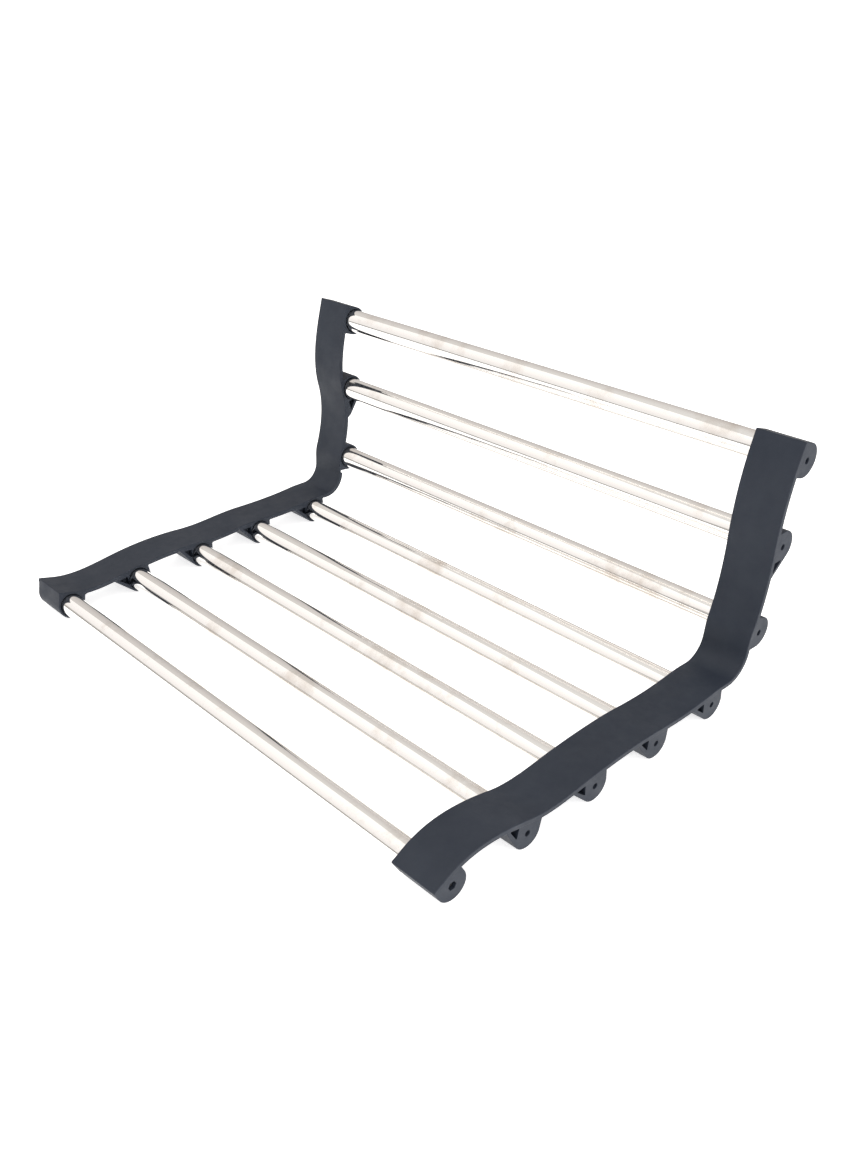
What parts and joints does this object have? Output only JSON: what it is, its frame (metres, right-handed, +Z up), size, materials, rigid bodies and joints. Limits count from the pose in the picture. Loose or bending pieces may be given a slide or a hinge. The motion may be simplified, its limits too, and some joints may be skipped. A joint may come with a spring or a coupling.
{
  "type": "folding drying rack",
  "caption": "Drying rack of round steel tubes held between two soft moulded side straps, with a level shelf and a back that folds at the corner.",
  "frame": {"origin": "middle of the rack's footprint, on the surface that the shelf's sockets stand on", "axes": "+X along the tubes to the right as seen from the front, +Y from the shelf's front edge to the back, +Z up"},
  "size_m": [0.532, 0.3748, 0.2016],
  "materials": {
    "strap": "matte charcoal, faintly blue",
    "tube": "polished stainless steel",
    "plug": "moulded black",
    "screw": "dark plated"
  },
  "bodies": {
    "shelf": {"right_rail_shelf": "strap", "left_rail_shelf": "strap", "right_rail_bend": "strap", "left_rail_bend": "strap", "shelf_tube_1": "tube", "shelf_plug_1_right": "plug", "shelf_screw_1_right": "screw", "shelf_plug_1_left": "plug", "shelf_screw_1_left": "screw", "shelf_tube_2": "tube", "shelf_plug_2_right": "plug", "shelf_screw_2_right": "screw", "shelf_plug_2_left": "plug", "shelf_screw_2_left": "screw", "shelf_tube_3": "tube", "shelf_plug_3_right": "plug", "shelf_screw_3_right": "screw", "shelf_plug_3_left": "plug", "shelf_screw_3_left": "screw", "shelf_tube_4": "tube", "shelf_plug_4_right": "plug", "shelf_screw_4_right": "screw", "shelf_plug_4_left": "plug", "shelf_screw_4_left": "screw", "shelf_tube_5": "tube", "shelf_plug_5_right": "plug", "shelf_screw_5_right": "screw", "shelf_plug_5_left": "plug", "shelf_screw_5_left": "screw"},
    "back": {"right_rail_back": "strap", "left_rail_back": "strap", "back_tube_1": "tube", "back_plug_1_right": "plug", "back_screw_1_right": "screw", "back_plug_1_left": "plug", "back_screw_1_left": "screw", "back_tube_2": "tube", "back_plug_2_right": "plug", "back_screw_2_right": "screw", "back_plug_2_left": "plug", "back_screw_2_left": "screw", "back_tube_3": "tube", "back_plug_3_right": "plug", "back_screw_3_right": "screw", "back_plug_3_left": "plug", "back_screw_3_left": "screw"}
  },
  "joints": [
    {"name": "back_fold", "type": "hinge", "parent": "shelf", "child": "back", "pos_m": [0, 0.13839, 0.02654], "axis": [1, 0, 0], "range_deg": [-82, 60], "deforming": ["right_rail_bend", "left_rail_bend"]}
  ]
}
